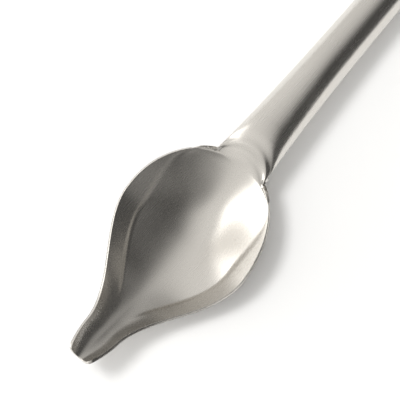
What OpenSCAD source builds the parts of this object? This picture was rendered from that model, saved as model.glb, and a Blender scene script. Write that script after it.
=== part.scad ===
// Sauce drawing spoon: a drop-shaped bowl with a narrow pouring spout on a hollow, tapered handle.
// The sheet that forms the bowl also forms the upper half of the handle. A second pressed shell
// closes the handle from below. Butt welds join the two shells, and a domed cap closes the end.
// The spoon's own axis runs from the spout (x = 0) through the middle of the handle, and place()
// then lays the spoon down on its bowl and its handle end.

/* [Sheet] */
// Thickness of the sheet metal
sheet = 0.8; // [0.6:0.1:1.2]
// Width of the butt welds between the shells
weld_gap = 0.4; // [0.3:0.1:0.6]
// How far the bead under the bowl stands out from the shells
bead = 0.6; // [0.4:0.1:0.9]

/* [Bowl] */
// Width of the bowl at its widest place
bowl_width = 40.8; // [38:0.2:43]
// Distance from the spout's end to the widest place
widest_x = 43.5; // [42:0.5:45]
// Length of the round rear part's half axis
rear_axis = 25.5; // [24.5:0.5:27]
// Depth of the bowl's floor below the spoon's axis
floor_depth = 13.8; // [12:0.2:15]
// How far the rim sags below the axis between spout and bowl
rim_sag = 5.5; // [4:0.5:6.5]
// How far the rim rises above the axis beside the neck
rim_lift = 0.6; // [0:0.1:1.2]

/* [Rim band] */
// Width of the sloping band along the rim
band_width = 5; // [4:0.25:6]
// How high the band stands where the bowl is deep
band_height = 4.9; // [4:0.1:5.5]
// Height of the pressed step between band and floor
crease_height = 0.35; // [0.2:0.05:0.4]
// Roundness of the dished floor, where more is nearer to a cone
dish_curve = 2.2; // [1.4:0.1:2.6]

/* [Spout] */
// Width of the spout at its end
spout_end_width = 5.8; // [5:0.2:7]
// Width of the spout where it widens into the bowl
spout_width = 10; // [9:0.5:11]
// Depth of the trough at the spout's end
spout_end_depth = 2.9; // [2.5:0.1:3.2]

/* [Handle] */
// Length of the whole spoon along its axis
spoon_length = 206; // [185:1:225]
// Radius of the handle at the neck
neck_radius = 8.1; // [7.6:0.1:8.6]
// Radius that the handle narrows towards
grip_radius = 5.3; // [4.8:0.1:6]
// Length over which the handle narrows most
taper_length = 30; // [25:1:40]
// How much flatter than round the neck is pressed on top
neck_flatten = 2.5; // [1.5:0.1:3]
// How far the domed cap bulges out at the end
cap_bulge = 2.2; // [1.5:0.1:3]

/* [Hidden] */

steel = [0.74, 0.72, 0.69];
weld_steel = [0.66, 0.65, 0.62];

bowl_half = bowl_width / 2;
spout_half = spout_width / 2;
spout_end_half = spout_end_width / 2;
// The neck is where the round rear outline has narrowed to the handle's radius
neck_x = widest_x + rear_axis * sqrt(1 - pow(neck_radius / bowl_half, 2));
crest_x = neck_x + 13;
cap_x = spoon_length - cap_bulge;
shell_end_x = cap_x - weld_gap;

// Places along the axis where the rim and the floor change
sag_x = 28;
lift_x = 55;
floor_x = 43;
rear_power = 1.3;
flat_length = 38;

// The spout: rounded end, trough and shoulders
spout_end_round = 9;
shoulder_x = 8.5;
corner_cut = 2.2;
lip_drop = 0.7;
lip_length = 9;
trough_curve = 0.35;
opening_start = 1;
opening_length = 6;

// The band runs out into the rim on both sides of the neck
crease_width = 1.4;
band_end_x = 63;
band_end_share = 0.1;
shortest_dish = 1;

// The arch that turns the bowl's section into the handle's half round
arch_x = neck_x - 10;
rim_arch_x = neck_x - 1.5;
rim_arch_power = 6;
full_round_x = neck_x + 8;
neck_sharpness = 2;

under_start_x = 50;
joint_margin = 2.5;
upper_cover = 20;
rim_cover = 2;

// Stations along the axis: close together where the sheet curves, wide apart along the handle
bowl_steps = 36;
neck_steps = 8;
grip_steps = 7;
grip_start_x = 84;
across_steps = 44;
under_steps = 14;
under_across_steps = 26;
dome_steps = 14;
round_sides = 96;

// ---- Curves along the axis ----

function smooth(t) = let (c = min(1, max(0, t))) c * c * (3 - 2 * c);
function mix(a, b, t) = a + (b - a) * t;

function handle_radius(x) =
    grip_radius + (neck_radius - grip_radius) * exp(-max(0, x - neck_x) / taper_length);

function spout_half_width(x) =
    spout_half - (spout_half - spout_end_half) * pow(max(0, 1 - x / spout_end_round), 1.5);

function front_half_width(x) =
    spout_half_width(x)
    + (bowl_half - spout_half) * smooth((x - shoulder_x) / (widest_x - shoulder_x));

function half_width(x) =
    x < widest_x ? front_half_width(x)
    : x < neck_x ? bowl_half * sqrt(1 - pow((x - widest_x) / rear_axis, 2))
    : handle_radius(x);

function rim_height(x) =
    x < sag_x ? -rim_sag * sin(90 * x / sag_x)
    : x < lift_x ? mix(-rim_sag, rim_lift, smooth((x - sag_x) / (lift_x - sag_x)))
    : x < neck_x ? mix(rim_lift, 0, smooth((x - lift_x) / (neck_x - lift_x)))
    : 0;

// Height of the sheet along the middle: trough, bowl floor, rear wall and the crest at the neck
function rear_rise(x) = pow(smooth((x - floor_x) / (crest_x - floor_x)), rear_power);
function lip_fall(x) = lip_drop * pow(max(0, 1 - x / lip_length), 2);
function crest_height(x) =
    handle_radius(x) - neck_flatten * smooth(1 - (x - neck_x) / flat_length);
function middle_height(x) =
    x < floor_x
    ? mix(lip_drop - spout_end_depth, -floor_depth, sin(90 * x / floor_x)) - lip_fall(x)
    : x < crest_x ? mix(-floor_depth, crest_height(crest_x), rear_rise(x))
    : crest_height(x);

// ---- Curves across the sheet, as drops below the rim at the share u of the half width ----

// The spout's trough is a circular arc
function trough_arc(u) = 1 - sqrt(1 - trough_curve * u * u);
function trough_drop(u, depth) = depth * (1 - trough_arc(u) / trough_arc(1));

// The bowl has a sloping band along its rim, the pressed crease and a dished floor
function band_reach(x) =
    mix(1, band_end_share, smooth((x - widest_x) / (band_end_x - widest_x)));
function dish(run) = norm([1, dish_curve * run]) - 1;
function bowl_drop(x, u, width, depth) =
    let (
        inset = width * (1 - u),
        reach = band_reach(x),
        band = band_width * reach,
        steep = reach * depth / norm([depth, band_height]),
        run = min(1, u * width / max(shortest_dish, width - band))
    )
    band_height * steep * min(1, inset / band)
    + crease_height * steep * smooth((inset - band) / crease_width + 0.5)
    + (depth - (band_height + crease_height) * steep) * (1 - dish(run) / dish(1));

function arch_drop(x, angle, depth) =
    let (share = smooth((x - neck_x) / (full_round_x - neck_x)))
    depth * pow(max(0, cos(angle)), mix(neck_sharpness, 1, share));

function drop(x, angle, width, depth) =
    let (
        u = abs(sin(angle)),
        opening = smooth((width - band_width - opening_start) / opening_length),
        bowl = mix(trough_drop(u, depth), bowl_drop(x, u, width, depth), opening),
        arch_start = mix(arch_x, rim_arch_x, pow(u, rim_arch_power))
    )
    mix(bowl, arch_drop(x, angle, depth), smooth((x - arch_start) / (neck_x - arch_start)));

// The spout's end is cut back at its corners
function corner_x(x, angle) =
    x + corner_cut * pow(max(0, 1 - x / (2 * corner_cut)), 2) * pow(abs(angle / 90), 4);

// A point on the sheet's upper side, where angle runs from -90 (right rim) to 90 (left rim)
function section_point(x, angle) =
    let (rim = rim_height(x), width = half_width(x))
    [x, width * sin(angle), rim - drop(x, angle, width, rim - middle_height(x))];
function top_point(x, angle) = section_point(corner_x(x, angle), angle);

nudge_x = 0.02;
nudge_angle = 1;
function unit(v) = v / norm(v);
function along(x, angle) = top_point(x + nudge_x, angle) - top_point(max(0, x - nudge_x), angle);
function sideways(x, angle) =
    top_point(x, min(90, angle + nudge_angle)) - top_point(x, max(-90, angle - nudge_angle));
function top_normal(x, angle) = unit(cross(along(x, angle), sideways(x, angle)));
function below_point(x, angle, depth) = top_point(x, angle) - depth * top_normal(x, angle);

// ---- Stations ----

bowl_stations = [for (i = [0:bowl_steps]) neck_x * i / bowl_steps];
handle_stations = concat(
    [for (i = [0:neck_steps]) mix(neck_x, grip_start_x, i / neck_steps)],
    [for (i = [1:grip_steps]) mix(grip_start_x, shell_end_x, i / grip_steps)]);
top_stations = concat([for (i = [0:bowl_steps - 1]) bowl_stations[i]], handle_stations);
nose_stations = [for (i = [0:under_steps]) mix(under_start_x, neck_x, i / under_steps)];
under_stations = concat([for (i = [0:under_steps - 1]) nose_stations[i]], handle_stations);
joint_stations =
    [for (x = top_stations) if (x > under_start_x - joint_margin && x < full_round_x + joint_margin) x];
across = [for (j = [0:across_steps]) -90 + 180 * j / across_steps];

// ---- Thick sheet between two grids of points, the first one on the upper side ----

function flat(rows) = [for (row = rows) each row];
function quad(a, b, c, d) = [[a, b, c], [a, c, d]];

module thick_sheet(upper, lower) {
    rows = len(upper);
    columns = len(upper[0]);
    below = rows * columns;
    function at(i, j) = i * columns + j;
    last_row = rows - 1;
    last_column = columns - 1;
    faces = concat(
        [for (i = [0:rows - 2], j = [0:columns - 2])
            each quad(at(i, j), at(i, j + 1), at(i + 1, j + 1), at(i + 1, j))],
        [for (i = [0:rows - 2], j = [0:columns - 2])
            each quad(below + at(i, j), below + at(i + 1, j), below + at(i + 1, j + 1),
                      below + at(i, j + 1))],
        [for (i = [0:rows - 2])
            each quad(at(i, 0), at(i + 1, 0), below + at(i + 1, 0), below + at(i, 0))],
        [for (i = [0:rows - 2])
            each quad(at(i + 1, last_column), at(i, last_column), below + at(i, last_column),
                      below + at(i + 1, last_column))],
        [for (j = [0:columns - 2])
            each quad(at(0, j + 1), at(0, j), below + at(0, j), below + at(0, j + 1))],
        [for (j = [0:columns - 2])
            each quad(at(last_row, j), at(last_row, j + 1), below + at(last_row, j + 1),
                      below + at(last_row, j))]);
    polyhedron(points = concat(flat(upper), flat(lower)), faces = faces);
}

// ---- Placing the spoon on its bowl and its handle end ----

end_radius = handle_radius(cap_x);
floor_line = [for (x = bowl_stations) below_point(x, 0, sheet)];
pitch = max([for (p = floor_line) atan((p.z + end_radius) / (p.x - cap_x))]);
function turned_x(p) = p.x * cos(pitch) + p.z * sin(pitch);
function turned_z(p) = p.z * cos(pitch) - p.x * sin(pitch);
lowest_z = turned_z([cap_x, 0, -end_radius]);
first_x = min([for (angle = across)
    min(turned_x(top_point(0, angle)), turned_x(below_point(0, angle, sheet)))]);
last_x = cap_x * cos(pitch) + norm([cap_bulge * cos(pitch), end_radius * sin(pitch)]);

module place() {
    translate([-(first_x + last_x) / 2, 0, -lowest_z]) rotate([0, pitch, 0]) children();
}

// ---- The shells ----

module pressed_sheet(stations) {
    thick_sheet(
        [for (x = stations) [for (angle = across) top_point(x, angle)]],
        [for (x = stations) [for (angle = across) below_point(x, angle, sheet)]]);
}

// Part of the tube's wall. Angles are counted from straight down, positive to the left
function tube_point(x, angle, inset) =
    let (r = handle_radius(x) - inset) [x, r * sin(angle), -r * cos(angle)];
module tube_wall(stations, angles, inner_inset, outer_inset) {
    thick_sheet(
        [for (x = stations) [for (angle = angles) tube_point(x, angle, inner_inset)]],
        [for (x = stations) [for (angle = angles) tube_point(x, angle, outer_inset)]]);
}

gap_angle = 2 * asin(weld_gap / 2 / grip_radius);
under_edge = 90 - gap_angle;
under_angles = [for (j = [0:under_across_steps]) mix(-under_edge, under_edge, j / under_across_steps)];

// Everything above the sheet's lower side near the neck, out past the rims
module above_sheet() {
    out = [0, rim_cover, 0];
    lower = [for (x = joint_stations)
        let (row = [for (angle = across) below_point(x, angle, sheet)])
        concat([row[0] - out], row, [row[across_steps] + out])];
    thick_sheet([for (row = lower) [for (p = row) [p.x, p.y, upper_cover]]], lower);
}

module bowl_shell() {
    color(steel) place() pressed_sheet(top_stations);
}

// Takes off what reaches into the upper sheet or above it
module below_sheet() {
    difference() {
        children();
        above_sheet();
    }
}

// The lower half of the handle, whose front end is cut to fit the bowl's back
module under_shell() {
    color(steel) place() below_sheet() tube_wall(under_stations, under_angles, sheet, 0);
}

module left_weld() {
    color(weld_steel) place() below_sheet() tube_wall(handle_stations, [under_edge, 90], sheet, 0);
}

module right_weld() {
    color(weld_steel) place() below_sheet() tube_wall(handle_stations, [-90, -under_edge], sheet, 0);
}

// The bead that runs round the front of the lower shell, in the corner under the bowl
module bowl_weld() {
    lower_side = [for (x = joint_stations) [for (angle = across) below_point(x, angle, sheet)]];
    bead_side = [for (x = joint_stations) [for (angle = across) below_point(x, angle, sheet + bead)]];
    color(weld_steel) place() intersection() {
        tube_wall(nose_stations, under_angles, 0, -bead);
        thick_sheet(lower_side, bead_side);
    }
}

// ---- The handle's end ----

function dome(radius, bulge) =
    [for (i = [0:dome_steps]) [radius * cos(90 * i / dome_steps), bulge * sin(90 * i / dome_steps)]];

module end_cap() {
    color(steel) place() translate([cap_x, 0, 0]) rotate([0, 90, 0])
        rotate_extrude($fn = round_sides)
            polygon(concat(
                dome(end_radius, cap_bulge),
                [for (i = [dome_steps:-1:0]) dome(end_radius - sheet, cap_bulge - sheet)[i]]));
}

module end_weld() {
    color(weld_steel) place() translate([shell_end_x, 0, 0]) rotate([0, 90, 0])
        difference() {
            cylinder(h = weld_gap, r1 = handle_radius(shell_end_x), r2 = end_radius, $fn = round_sides);
            translate([0, 0, -weld_gap / 2])
                cylinder(h = 2 * weld_gap, r = end_radius - sheet, $fn = round_sides);
        }
}

bowl_shell();
under_shell();
left_weld();
right_weld();
bowl_weld();
end_cap();
end_weld();
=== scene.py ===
import math

import bpy
from mathutils import Matrix, Vector


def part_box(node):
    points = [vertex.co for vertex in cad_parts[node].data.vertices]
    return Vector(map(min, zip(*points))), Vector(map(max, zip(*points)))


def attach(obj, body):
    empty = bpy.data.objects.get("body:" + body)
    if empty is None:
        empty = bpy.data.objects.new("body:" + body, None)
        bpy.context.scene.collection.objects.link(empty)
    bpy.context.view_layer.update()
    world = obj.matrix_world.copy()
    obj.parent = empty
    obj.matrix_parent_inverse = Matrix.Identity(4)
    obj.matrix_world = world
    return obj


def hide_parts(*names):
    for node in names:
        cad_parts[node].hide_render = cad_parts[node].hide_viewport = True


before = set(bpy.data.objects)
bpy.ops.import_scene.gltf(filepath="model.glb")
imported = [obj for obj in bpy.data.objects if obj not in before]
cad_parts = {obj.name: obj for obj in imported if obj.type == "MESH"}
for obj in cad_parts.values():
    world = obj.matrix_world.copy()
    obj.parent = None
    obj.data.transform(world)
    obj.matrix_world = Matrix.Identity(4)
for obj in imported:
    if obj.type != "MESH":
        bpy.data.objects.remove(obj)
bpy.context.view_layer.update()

# Looks of a sauce drawing spoon: pressed sheet bowl and neck, hollow tapered handle, welded cap.
# Lengths are millimetres on the spoon's own axis (x = 0 at the spout, z = 0 in the handle's
# middle). to_row() turns them into metres in the frame's own axes.
MM = 0.001

# ---- The spoon's dimensions, the same ones as the CAD model's ----

SHEET = 0.8
BOWL_HALF = 20.4
WIDEST_X = 43.5
REAR_AXIS = 25.5
FLOOR_DEPTH = 13.8
FLOOR_X = 43
RIM_SAG = 5.5
RIM_LIFT = 0.6
BAND_WIDTH = 5.0
BAND_HEIGHT = 4.9
BAND_END_X = 63
BAND_END_SHARE = 0.1
DISH_CURVE = 2.2
CREASE_HEIGHT = 0.35
CREASE_WIDTH = 1.4
SPOUT_END_HALF = 2.9
SPOUT_HALF = 5.0
SPOUT_END_DEPTH = 2.9
LIP_DROP = 0.7
LIP_LENGTH = 9
SPOON_LENGTH = 206.0
NECK_RADIUS = 8.1
GRIP_RADIUS = 5.3
TAPER_LENGTH = 30.0
CAP_BULGE = 2.2
WELD_GAP = 0.4
NECK_FLATTEN = 2.5
FLAT_LENGTH = 38

NECK_X = WIDEST_X + REAR_AXIS * math.sqrt(1 - (NECK_RADIUS / BOWL_HALF) ** 2)
CREST_X = NECK_X + 13
CAP_X = SPOON_LENGTH - CAP_BULGE
SHELL_END_X = CAP_X - WELD_GAP
SAG_X = 28
LIFT_X = 55
SPOUT_END_ROUND = 9
SHOULDER_X = 8.5
SPOUT_FLARE = 1.5
CORNER_POWER = 4
OPENING_START = 1
OPENING_LENGTH = 6
SHORTEST_DISH = 1
ARCH_X = NECK_X - 10
RIM_ARCH_X = NECK_X - 1.5
RIM_ARCH_POWER = 6
NECK_SHARPNESS = 2
FULL_ROUND_X = NECK_X + 8
CORNER_CUT = 2.2
TROUGH_CURVE = 0.35
REAR_POWER = 1.3

NUDGE_X = 0.02
NUDGE_ANGLE = 1.0

# Finer than the CAD model: the deburred sheet edge and the press mark round the neck
EDGE_ROUND = 0.2
BROW_HEIGHT = 0.3
BROW_REACH = 6
BROW_SHIFT = 1
BROW_SPREAD = 3
BROW_LENGTH = 4.6
BROW_RIM_FADE = 0.4


def smooth(t):
    c = min(1.0, max(0.0, t))
    return c * c * (3 - 2 * c)


def mix(a, b, t):
    return a + (b - a) * t


def sin_deg(angle):
    return math.sin(math.radians(angle))


def cos_deg(angle):
    return math.cos(math.radians(angle))


def handle_radius(x):
    return GRIP_RADIUS + (NECK_RADIUS - GRIP_RADIUS) * math.exp(-max(0, x - NECK_X) / TAPER_LENGTH)


def half_width(x):
    if x >= NECK_X:
        return handle_radius(x)
    if x >= WIDEST_X:
        return BOWL_HALF * math.sqrt(1 - ((x - WIDEST_X) / REAR_AXIS) ** 2)
    spout = SPOUT_HALF - (SPOUT_HALF - SPOUT_END_HALF) * max(0, 1 - x / SPOUT_END_ROUND) ** SPOUT_FLARE
    return spout + (BOWL_HALF - SPOUT_HALF) * smooth((x - SHOULDER_X) / (WIDEST_X - SHOULDER_X))


def rim_height(x):
    if x < SAG_X:
        return -RIM_SAG * sin_deg(90 * x / SAG_X)
    if x < LIFT_X:
        return mix(-RIM_SAG, RIM_LIFT, smooth((x - SAG_X) / (LIFT_X - SAG_X)))
    if x < NECK_X:
        return mix(RIM_LIFT, 0, smooth((x - LIFT_X) / (NECK_X - LIFT_X)))
    return 0.0


def crest_height(x):
    """The top of the handle, pressed a little flatter than round towards the neck."""
    return handle_radius(x) - NECK_FLATTEN * smooth(1 - (x - NECK_X) / FLAT_LENGTH)


def middle_height(x):
    if x < FLOOR_X:
        run = mix(LIP_DROP - SPOUT_END_DEPTH, -FLOOR_DEPTH, sin_deg(90 * x / FLOOR_X))
        return run - LIP_DROP * max(0, 1 - x / LIP_LENGTH) ** 2
    if x < CREST_X:
        rise = smooth((x - FLOOR_X) / (CREST_X - FLOOR_X)) ** REAR_POWER
        return mix(-FLOOR_DEPTH, crest_height(CREST_X), rise)
    return crest_height(x)


def trough_drop(u, depth):
    """How far the spout's round trough lies below its rim at the share u of the half width."""
    arc = (1 - math.sqrt(1 - TROUGH_CURVE * u * u)) / (1 - math.sqrt(1 - TROUGH_CURVE))
    return depth * (1 - arc)


def bowl_drop(x, u, width, depth):
    """The bowl below its rim: a sloping band along the rim, the crease and the dished floor."""
    inset = width * (1 - u)
    reach = mix(1, BAND_END_SHARE, smooth((x - WIDEST_X) / (BAND_END_X - WIDEST_X)))
    steep = reach * depth / math.hypot(depth, BAND_HEIGHT)
    band = BAND_HEIGHT * steep * min(1, inset / (BAND_WIDTH * reach))
    crease = CREASE_HEIGHT * steep * smooth((inset - BAND_WIDTH * reach) / CREASE_WIDTH + 0.5)
    dish = depth - (BAND_HEIGHT + CREASE_HEIGHT) * steep
    run = min(1, u * width / max(SHORTEST_DISH, width - BAND_WIDTH * reach))
    curve = (math.hypot(1, DISH_CURVE * run) - 1) / (math.hypot(1, DISH_CURVE) - 1)
    return band + crease + dish * (1 - curve)


def brow(x, angle):
    """A shallow press mark that runs from rim to rim round the end of the handle."""
    off = x - NECK_X - BROW_REACH * max(0, cos_deg(angle))
    fade = math.exp(-((off + BROW_SHIFT) / BROW_SPREAD) ** 2) * smooth(cos_deg(angle) / BROW_RIM_FADE)
    return BROW_HEIGHT * fade * math.cos(2 * math.pi * off / BROW_LENGTH)


def top_point(x, angle):
    """A point on the sheet's upper side: angle runs from -90 at the right rim to 90 at the left."""
    x += CORNER_CUT * max(0, 1 - x / (2 * CORNER_CUT)) ** 2 * abs(angle / 90) ** CORNER_POWER
    rim, width, share = rim_height(x), half_width(x), abs(sin_deg(angle))
    depth = rim - middle_height(x)
    opening = smooth((width - BAND_WIDTH - OPENING_START) / OPENING_LENGTH)
    bowl = mix(trough_drop(share, depth), bowl_drop(x, share, width, depth), opening)
    sharpness = mix(NECK_SHARPNESS, 1, smooth((x - NECK_X) / (FULL_ROUND_X - NECK_X)))
    arch = depth * max(0, cos_deg(angle)) ** sharpness
    arch_start = mix(ARCH_X, RIM_ARCH_X, share ** RIM_ARCH_POWER)
    drop = mix(bowl, arch, smooth((x - arch_start) / (NECK_X - arch_start)))
    return Vector((x, width * sin_deg(angle), rim - drop + brow(x, angle)))


def top_normal(x, angle):
    along = top_point(x + NUDGE_X, angle) - top_point(max(0, x - NUDGE_X), angle)
    across = top_point(x, min(90, angle + NUDGE_ANGLE)) - top_point(x, max(-90, angle - NUDGE_ANGLE))
    return along.cross(across).normalized()


def below_point(x, angle, depth):
    return top_point(x, angle) - depth * top_normal(x, angle)


# ---- Where the spoon lies in the frame ----

END_RADIUS = handle_radius(CAP_X)
STATION_STEPS = 36
FLOOR_LINE = [below_point(NECK_X * i / STATION_STEPS, 0, SHEET) for i in range(STATION_STEPS + 1)]
PITCH = max(math.atan((p.z + END_RADIUS) / (p.x - CAP_X)) for p in FLOOR_LINE)
TURN = Matrix.Rotation(PITCH, 4, "Y")


def place_matrix():
    """The spoon's own millimetres to the frame's metres, from the CAD model's box."""
    end_x = CAP_X * math.cos(PITCH) + math.hypot(CAP_BULGE * math.cos(PITCH), END_RADIUS * math.sin(PITCH))
    end_z = (TURN @ Vector((CAP_X, 0, -END_RADIUS))).z
    shift = Vector((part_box("end_cap")[1].x / MM - end_x, 0, -end_z))
    return Matrix.Scale(MM, 4) @ Matrix.Translation(shift) @ TURN


PLACE = place_matrix()


def to_row(point):
    return PLACE @ Vector(point)


# ---- Mesh building ----

SHARP_ANGLE = 38


def make_mesh(name, points, faces, material):
    mesh = bpy.data.meshes.new(name)
    mesh.from_pydata([to_row(p) for p in points], [], faces)
    mesh.validate()
    mesh.polygons.foreach_set("use_smooth", [True] * len(mesh.polygons))
    mesh.materials.append(material)
    piece = bpy.data.objects.new(name, mesh)
    bpy.context.scene.collection.objects.link(piece)
    mesh.set_sharp_from_angle(angle=math.radians(SHARP_ANGLE))
    return piece


def stand_for(piece, node):
    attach(piece, "root")
    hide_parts(node)


def ring_strip(rings, closed=True):
    """Quads between neighbouring rings of the same number of points."""
    count = len(rings[0])
    last = count if closed else count - 1
    faces = []
    for i in range(len(rings) - 1):
        for j in range(last):
            k = (j + 1) % count
            faces.append((i * count + j, i * count + k, (i + 1) * count + k, (i + 1) * count + j))
    return faces


def thick_grid(name, upper, lower, material):
    """A closed solid between two grids of points."""
    columns = len(upper[0])
    rings = [list(u) + list(reversed(low)) for u, low in zip(upper, lower)]
    faces = ring_strip(rings)
    ring = 2 * columns
    start, end = 0, (len(rings) - 1) * ring
    for j in range(columns - 1):
        k = ring - 1 - j
        faces.append((start + j + 1, start + j, start + k, start + k - 1))
        faces.append((end + j, end + j + 1, end + k - 1, end + k))
    points = [p for ring_points in rings for p in ring_points]
    return make_mesh(name, points, faces, material)


def tube_point(x, angle, inset):
    """A point on the handle's wall: angle is counted from straight down, positive to the left."""
    r = handle_radius(x) - inset
    return Vector((x, r * sin_deg(angle), -r * cos_deg(angle)))


# ---- Materials ----

STEEL_COLOR = (0.73, 0.705, 0.665)
WELD_COLOR = (0.66, 0.64, 0.61)
GRAIN_SCALE = (60, 3000, 3000)
GRAIN_DEPTH = 0.00002
CLOUD_SCALE = 90.0
CLOUD_DARK = 0.965
CLOUD_LIGHT = 1.03
NOISE_RANGE = (0.3, 0.7)
ROUGHNESS_RANGE = (0.85, 1.15)


def node_maker(tree):
    def add(kind, **values):
        node = tree.nodes.new(kind)
        for key, value in values.items():
            setattr(node, key, value)
        return node
    return add


def steel(name, color, roughness, grain_bump):
    """Polished sheet steel with a fine satin grain along the spoon and faint clouding."""
    material = bpy.data.materials.new(name)
    material.use_nodes = True
    tree = material.node_tree
    add, link = node_maker(tree), tree.links.new
    shader = tree.nodes["Principled BSDF"]
    shader.inputs["Metallic"].default_value = 1.0

    coords = add("ShaderNodeTexCoord")
    stretch = add("ShaderNodeMapping")
    stretch.inputs["Scale"].default_value = GRAIN_SCALE
    link(coords.outputs["Object"], stretch.inputs["Vector"])
    grain = add("ShaderNodeTexNoise")
    grain.inputs["Scale"].default_value = 1.0
    grain.inputs["Detail"].default_value = 3.0
    link(stretch.outputs["Vector"], grain.inputs["Vector"])

    clouds = add("ShaderNodeTexNoise")
    clouds.inputs["Scale"].default_value = CLOUD_SCALE
    clouds.inputs["Detail"].default_value = 4.0
    link(coords.outputs["Object"], clouds.inputs["Vector"])

    tint = add("ShaderNodeMix", data_type="RGBA")
    tint.inputs["A"].default_value = (*[c * CLOUD_DARK for c in color], 1)
    tint.inputs["B"].default_value = (*[min(1, c * CLOUD_LIGHT) for c in color], 1)
    link(clouds.outputs["Fac"], tint.inputs["Factor"])
    link(tint.outputs["Result"], shader.inputs["Base Color"])

    blend = add("ShaderNodeMix", data_type="FLOAT")
    blend.inputs["Factor"].default_value = 0.5
    link(clouds.outputs["Fac"], blend.inputs["A"])
    link(grain.outputs["Fac"], blend.inputs["B"])
    rough = add("ShaderNodeMapRange")
    rough.inputs["From Min"].default_value = NOISE_RANGE[0]
    rough.inputs["From Max"].default_value = NOISE_RANGE[1]
    rough.inputs["To Min"].default_value = roughness * ROUGHNESS_RANGE[0]
    rough.inputs["To Max"].default_value = roughness * ROUGHNESS_RANGE[1]
    link(blend.outputs["Result"], rough.inputs["Value"])
    link(rough.outputs["Result"], shader.inputs["Roughness"])

    bump = add("ShaderNodeBump")
    bump.inputs["Strength"].default_value = grain_bump
    bump.inputs["Distance"].default_value = GRAIN_DEPTH
    link(grain.outputs["Fac"], bump.inputs["Height"])
    link(bump.outputs["Normal"], shader.inputs["Normal"])
    return material


SATIN_STEEL = steel("satin_steel", STEEL_COLOR, roughness=0.27, grain_bump=0.08)
GROUND_WELD = steel("ground_weld", WELD_COLOR, roughness=0.34, grain_bump=0.3)


# ---- The upper pressing: spout, bowl, neck and the top of the handle ----

ACROSS = 112
EDGE_STEPS = 4
NEAR_RIM_ANGLE = 88
EDGE_FADE_LENGTH = 2
LEAST_EDGE_ROUND = 0.01
LEAST_CORNER = 0.004
FRONT_SPACING = 0.35
FRONT_STEPS = 29
BOWL_STEPS = 80
NECK_STEPS = 60
GRIP_STEPS = 60
NECK_START_X = NECK_X - 3
NECK_END_X = NECK_X + 10


def edge_arc(x, side, inset):
    """The rounded sheet edge on one side, from the upper face round to the lower one."""
    rim = top_point(x, 90 * side)
    normal = top_normal(x, 90 * side)
    outward = (rim - top_point(x, NEAR_RIM_ANGLE * side)).normalized()
    fade = 1 - smooth((x - NECK_X + EDGE_FADE_LENGTH) / EDGE_FADE_LENGTH)
    radius = max(EDGE_ROUND * fade, LEAST_EDGE_ROUND)
    inner = max(radius - inset, LEAST_CORNER)
    corner = rim - outward * radius
    points = []
    for depth, start in ((radius, 90), (SHEET - radius, 0)):
        for k in range(EDGE_STEPS + 1):
            a = start - 90 * k / EDGE_STEPS
            points.append(corner - normal * depth + inner * (outward * cos_deg(a) + normal * sin_deg(a)))
    return points


def shell_ring(x, inset=0.0):
    """One section of the upper pressing as a closed ring of points."""
    angles = [-90 + 180 * j / ACROSS for j in range(ACROSS + 1)]
    inner_angles = angles[1:-1]
    upper = [below_point(x, a, inset) for a in inner_angles]
    lower = [below_point(x, a, SHEET - inset) for a in reversed(inner_angles)]
    return upper + edge_arc(x, 1, inset) + lower + list(reversed(edge_arc(x, -1, inset)))


def spread(start, end, steps):
    """Evenly spaced values that follow start, up to and including end."""
    return [mix(start, end, i / steps) for i in range(1, steps + 1)]


def shell_stations():
    front = [FRONT_SPACING * i for i in range(1, FRONT_STEPS + 1)]
    bowl = spread(front[-1], NECK_START_X, BOWL_STEPS)
    neck = spread(NECK_START_X, NECK_END_X, NECK_STEPS)
    grip = spread(neck[-1], SHELL_END_X, GRIP_STEPS)
    return front + bowl + neck + grip


def build_bowl_shell():
    rounding = [(EDGE_ROUND * (1 - cos_deg(a)), EDGE_ROUND * (1 - sin_deg(a))) for a in (0, 30, 60, 90)]
    rings = [shell_ring(x, inset) for x, inset in rounding]
    rings += [shell_ring(x) for x in shell_stations()]
    faces = ring_strip(rings)
    ring = len(rings[0])
    inner = ACROSS - 1
    edge = 2 * (EDGE_STEPS + 1)
    for start, forward in ((0, False), ((len(rings) - 1) * ring, True)):
        caps = []
        for j in range(inner - 1):
            k = inner + edge + (inner - 1 - j)
            caps.append((j, j + 1, k - 1, k))
        left = list(range(inner - 1, inner + edge + 1))
        right = list(range(2 * inner + edge - 1, ring)) + [0]
        caps += [tuple(left), tuple(right)]
        for cap in caps:
            cap = [start + v for v in cap]
            faces.append(tuple(cap if forward else reversed(cap)))
    points = [p for ring_points in rings for p in ring_points]
    piece = make_mesh("bowl_shell_sheet", points, faces, SATIN_STEEL)
    stand_for(piece, "bowl_shell")


# ---- The lower pressing, its welds and the handle's end ----

GAP_ANGLE = 2 * math.degrees(math.asin(WELD_GAP / 2 / GRIP_RADIUS))
JOINT_START_X = 49.0
BISECTIONS = 24
LEAST_RISE = 0.2
UNDER_STEPS = 110
UNDER_CROWDING = 1.6
SIDE_WELD_STEPS = 120
SIDE_WELD_ACROSS = 4


def joint_x(angle, inset):
    """Where the lower shell's wall meets the bowl's back, by bisection along the wall."""
    wall = tube_point(NECK_X, angle, inset)
    near, far = JOINT_START_X, NECK_X
    for _ in range(BISECTIONS):
        x = (near + far) / 2
        sheet_angle = math.degrees(math.asin(max(-1, min(1, wall.y / half_width(x)))))
        point = top_point(x, sheet_angle)
        back = point.z - SHEET / max(LEAST_RISE, top_normal(x, sheet_angle).z)
        if back < wall.z:
            near = x
        else:
            far = x
    return near


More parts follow.
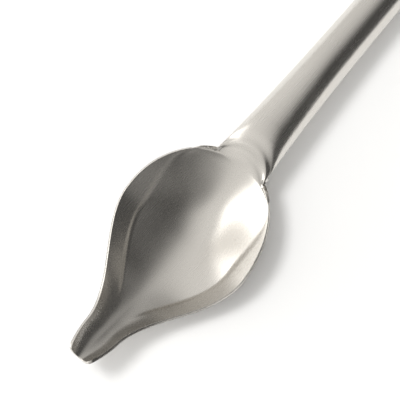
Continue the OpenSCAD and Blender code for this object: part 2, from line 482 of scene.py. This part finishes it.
def build_under_shell():
    limit = 90 - GAP_ANGLE
    angles = [mix(-limit, limit, j / ACROSS) for j in range(ACROSS + 1)]
    grids = []
    for inset in (SHEET, 0.0):
        starts = [joint_x(a, inset) for a in angles]
        rows = []
        for i in range(UNDER_STEPS + 1):
            t = (i / UNDER_STEPS) ** UNDER_CROWDING
            rows.append([tube_point(mix(s, SHELL_END_X, t), a, inset) for s, a in zip(starts, angles)])
        grids.append(rows)
    piece = thick_grid("under_shell_sheet", grids[0], grids[1], SATIN_STEEL)
    stand_for(piece, "under_shell")


def build_side_weld(node, first, last):
    stations = [mix(NECK_X, SHELL_END_X, i / SIDE_WELD_STEPS) for i in range(SIDE_WELD_STEPS + 1)]
    angles = [mix(first, last, j / SIDE_WELD_ACROSS) for j in range(SIDE_WELD_ACROSS + 1)]
    grids = [[[tube_point(x, a, inset) for a in angles] for x in stations] for inset in (SHEET, 0.0)]
    piece = thick_grid(node + "_strip", grids[0], grids[1], GROUND_WELD)
    stand_for(piece, node)


BEAD_RADIUS = 0.5
BEAD_RIPPLES = 46
BEAD_SIDES = 16
RIPPLE_STEPS = 6
RIPPLE_SWELL = 0.1
BEAD_END_SHARE = 0.25


def build_bowl_weld():
    """The bead under the bowl, with the ripples of its weld pool."""
    limit = 90 - GAP_ANGLE
    count = BEAD_RIPPLES * RIPPLE_STEPS
    path = []
    for i in range(count + 1):
        a = mix(-limit, limit, i / count)
        path.append(tube_point(joint_x(a, 0.0), a, 0.0))
    rings = []
    for i, centre in enumerate(path):
        ahead = path[min(i + 1, count)] - path[max(i - 1, 0)]
        side = ahead.cross(Vector((0, 0, 1))).normalized()
        lift = side.cross(ahead).normalized()
        swell = 1 + RIPPLE_SWELL * math.cos(2 * math.pi * i / RIPPLE_STEPS)
        end = min(1.0, min(i, count - i) / RIPPLE_STEPS + BEAD_END_SHARE)
        radius = BEAD_RADIUS * swell * end
        ring = []
        for j in range(BEAD_SIDES):
            a = 360 * j / BEAD_SIDES
            ring.append(centre + radius * (side * cos_deg(a) + lift * sin_deg(a)))
        rings.append(ring)
    faces = ring_strip(rings)
    faces.append(tuple(reversed(range(BEAD_SIDES))))
    faces.append(tuple(count * BEAD_SIDES + j for j in range(BEAD_SIDES)))
    points = [p for ring in rings for p in ring]
    piece = make_mesh("bowl_weld_bead", points, faces, GROUND_WELD)
    stand_for(piece, "bowl_weld")


LATHE_SIDES = 160
DOME_STEP = 3
TIP_RADIUS = 0.02


def lathe(name, profile, material):
    """A solid turned round the handle's axis: profile is a closed loop of (x, radius) pairs."""
    rings = []
    for x, radius in profile:
        turns = [360 * j / LATHE_SIDES for j in range(LATHE_SIDES)]
        rings.append([Vector((x, radius * sin_deg(a), -radius * cos_deg(a))) for a in turns])
    faces = ring_strip(rings + [rings[0]])
    wrap = len(profile) * LATHE_SIDES
    faces = [tuple(v % wrap for v in face) for face in faces]
    points = [p for ring in rings for p in ring]
    return make_mesh(name, points, faces, material)


def build_end():
    outer = [(CAP_X + CAP_BULGE * sin_deg(a), END_RADIUS * cos_deg(a)) for a in range(0, 90, DOME_STEP)]
    inner = [(CAP_X + (CAP_BULGE - SHEET) * sin_deg(a), (END_RADIUS - SHEET) * cos_deg(a))
             for a in range(90 - DOME_STEP, -1, -DOME_STEP)]
    profile = outer + [(SPOON_LENGTH, TIP_RADIUS), (SPOON_LENGTH - SHEET, TIP_RADIUS)] + inner
    piece = lathe("end_cap_dome", profile, SATIN_STEEL)
    stand_for(piece, "end_cap")

    near, far = handle_radius(SHELL_END_X), END_RADIUS
    ring = [(SHELL_END_X, near), (SHELL_END_X + WELD_GAP / 2, (near + far) / 2), (CAP_X, far),
            (CAP_X, far - SHEET), (SHELL_END_X, near - SHEET)]
    piece = lathe("end_weld_ring", ring, GROUND_WELD)
    stand_for(piece, "end_weld")


build_bowl_shell()
build_under_shell()
build_side_weld("left_weld", 90 - GAP_ANGLE, 90)
build_side_weld("right_weld", -90, GAP_ANGLE - 90)
build_bowl_weld()
build_end()


# ---- Camera ----

CAMERA_DISTANCE = 450.0
CAMERA_LENS = 150.2
# The camera's right and up and the point that it looks at, in the spoon's own axes
VIEW_RIGHT = Vector((0.6411, -0.7653, -0.0569))
VIEW_UP = Vector((0.7511, 0.6105, 0.2513))
VIEW_TARGET = Vector((53.1, 2.4, -0.3))


def build_camera():
    back = VIEW_RIGHT.cross(VIEW_UP).normalized()
    up = back.cross(VIEW_RIGHT).normalized()
    turn = TURN.to_3x3()
    axes = Matrix((turn @ VIEW_RIGHT.normalized(), turn @ up, turn @ back)).transposed()
    data = bpy.data.cameras.new("camera")
    data.lens = CAMERA_LENS
    data.clip_start, data.clip_end = 0.01, 10
    camera = bpy.data.objects.new("camera", data)
    bpy.context.scene.collection.objects.link(camera)
    camera.matrix_world = Matrix.Translation(to_row(VIEW_TARGET + back * CAMERA_DISTANCE)) @ axes.to_4x4()
    bpy.context.scene.camera = camera
    return turn @ VIEW_RIGHT, turn @ up


RIGHT, UP = build_camera()
LEFT_FLAT = Vector((-RIGHT.x, -RIGHT.y, 0)).normalized()
AWAY_FLAT = Vector((UP.x, UP.y, 0)).normalized()
CENTRE = to_row(VIEW_TARGET)


# ---- Floor, lights and surroundings ----

bpy.context.scene.view_settings.view_transform = "Standard"

FLOOR_SIZE = 4.0
FLOOR_COLOR = (0.92, 0.92, 0.915, 1)
STUDIO_TINT = (1.0, 0.985, 0.96)
LIGHT_DISTANCE = 1.2

# Light by tilt from straight up, in degrees to the left
OVERHEAD = [(-90, 0.08), (-75, 0.085), (-60, 0.08), (-48, 0.06), (-40, 0.055), (-33, 0.1), (-22, 0.34),
            (-11, 0.55), (0, 0.67), (20, 0.78), (40, 0.85), (90, 0.85)]
# Turns are counted from the left, in degrees towards the back
BACK_TURN = 110
BACK_SPAN = (0.55, 0.85)
BACK_SHARE = 0.4
FRONT_TURN = -90
FRONT_SPAN = (0.6, 0.92)
FRONT_SHARE = 0.3
# Each panel: its middle's turn, where its sides and its top fade in degrees, and its light
PANELS = [(8, (14, 34), (16, 31), 2.2), (-110, (8, 26), (14, 28), 0.3), (135, (8, 30), (38, 62), 0.3)]

KEY_TURN = 15
KEY_HEIGHT = 73
KEY_SIZE = 0.3
KEY_RADIANCE = 20.0
FILL_SIZE = 1.4
FILL_RADIANCE = 0.9


def build_floor():
    mesh = bpy.data.meshes.new("floor")
    half = FLOOR_SIZE / 2
    corners = [(-half, -half, 0), (half, -half, 0), (half, half, 0), (-half, half, 0)]
    mesh.from_pydata(corners, [], [(0, 1, 2, 3)])
    floor = bpy.data.objects.new("floor", mesh)
    bpy.context.scene.collection.objects.link(floor)
    material = bpy.data.materials.new("floor_white")
    material.use_nodes = True
    shader = material.node_tree.nodes["Principled BSDF"]
    shader.inputs["Base Color"].default_value = FLOOR_COLOR
    shader.inputs["Roughness"].default_value = 0.9
    shader.inputs["Specular IOR Level"].default_value = 0.0
    mesh.materials.append(material)


def area_light(name, direction, size, radiance):
    """A square light that the steel doesn't mirror: the studio gives its reflections."""
    data = bpy.data.lights.new(name, "AREA")
    data.shape = "RECTANGLE"
    data.size = size
    data.size_y = size
    data.energy = radiance * math.pi * size * size
    light = bpy.data.objects.new(name, data)
    bpy.context.scene.collection.objects.link(light)
    direction = direction.normalized()
    light.location = CENTRE + direction * LIGHT_DISTANCE
    light.rotation_mode = "QUATERNION"
    light.rotation_quaternion = direction.to_track_quat("Z", "Y")
    light.visible_glossy = False


def flat_direction(turn):
    return LEFT_FLAT * cos_deg(turn) + AWAY_FLAT * sin_deg(turn)


def build_surroundings():
    """The studio round the spoon: light on the left, grey overhead, dark on the right, and the panels."""
    world = bpy.data.worlds.new("studio")
    bpy.context.scene.world = world
    world.use_nodes = True
    tree = world.node_tree
    add, link = node_maker(tree), tree.links.new

    def math_node(operation, *values):
        node = add("ShaderNodeMath", operation=operation)
        for socket, value in zip(node.inputs, values):
            if isinstance(value, (int, float)):
                socket.default_value = value
            else:
                link(value, socket)
        return node.outputs[0]

    def blend(value, start, end, low, high):
        node = add("ShaderNodeMapRange", interpolation_type="SMOOTHSTEP")
        link(value, node.inputs["Value"])
        node.inputs["From Min"].default_value = start
        node.inputs["From Max"].default_value = end
        node.inputs["To Min"].default_value = low
        node.inputs["To Max"].default_value = high
        return node.outputs["Result"]

    coords = add("ShaderNodeTexCoord").outputs["Generated"]
    parts = []
    back_flat, front_flat = flat_direction(BACK_TURN), flat_direction(FRONT_TURN)
    for direction in (LEFT_FLAT, AWAY_FLAT, Vector((0, 0, 1)), back_flat, front_flat):
        dot = add("ShaderNodeVectorMath", operation="DOT_PRODUCT")
        dot.inputs[1].default_value = direction
        link(coords, dot.inputs[0])
        parts.append(dot.outputs["Value"])
    left, away, up, back, front = parts

    tilt = math_node("ARCTAN2", left, up)
    share = math_node("MULTIPLY_ADD", tilt, 1 / math.pi, 0.5)
    ramp = add("ShaderNodeValToRGB")
    link(share, ramp.inputs["Fac"])
    elements = ramp.color_ramp.elements
    while len(elements) < len(OVERHEAD):
        elements.new(0.5)
    for element, (angle, value) in zip(elements, OVERHEAD):
        element.position = (angle + 90) / 180
        element.color = (value, value, value, 1)
    behind = blend(back, *BACK_SPAN, 1.0, BACK_SHARE)
    before = blend(front, *FRONT_SPAN, 1.0, FRONT_SHARE)
    overhead = math_node("MULTIPLY", ramp.outputs["Color"], math_node("MULTIPLY", behind, before))

    turn = math_node("ARCTAN2", away, left)
    total = overhead
    for middle, sides, top, light in PANELS:
        off_centre = math_node("ABSOLUTE", math_node("SUBTRACT", turn, math.radians(middle)))
        side = blend(off_centre, math.radians(sides[0]), math.radians(sides[1]), 1.0, 0.0)
        height = blend(up, sin_deg(top[0]), sin_deg(top[1]), 1.0, 0.0)
        panel = math_node("MULTIPLY", math_node("MULTIPLY", side, height), light)
        total = math_node("ADD", total, panel)

    tint = add("ShaderNodeCombineColor")
    for channel, warmth in zip(("Red", "Green", "Blue"), STUDIO_TINT):
        link(math_node("MULTIPLY", total, warmth), tint.inputs[channel])
    link(tint.outputs["Color"], tree.nodes["Background"].inputs["Color"])


build_floor()
build_surroundings()
key_direction = flat_direction(KEY_TURN) * cos_deg(KEY_HEIGHT) + Vector((0, 0, sin_deg(KEY_HEIGHT)))
area_light("key", key_direction, KEY_SIZE, KEY_RADIANCE)
area_light("fill", Vector((0, 0, 1)), FILL_SIZE, FILL_RADIANCE)
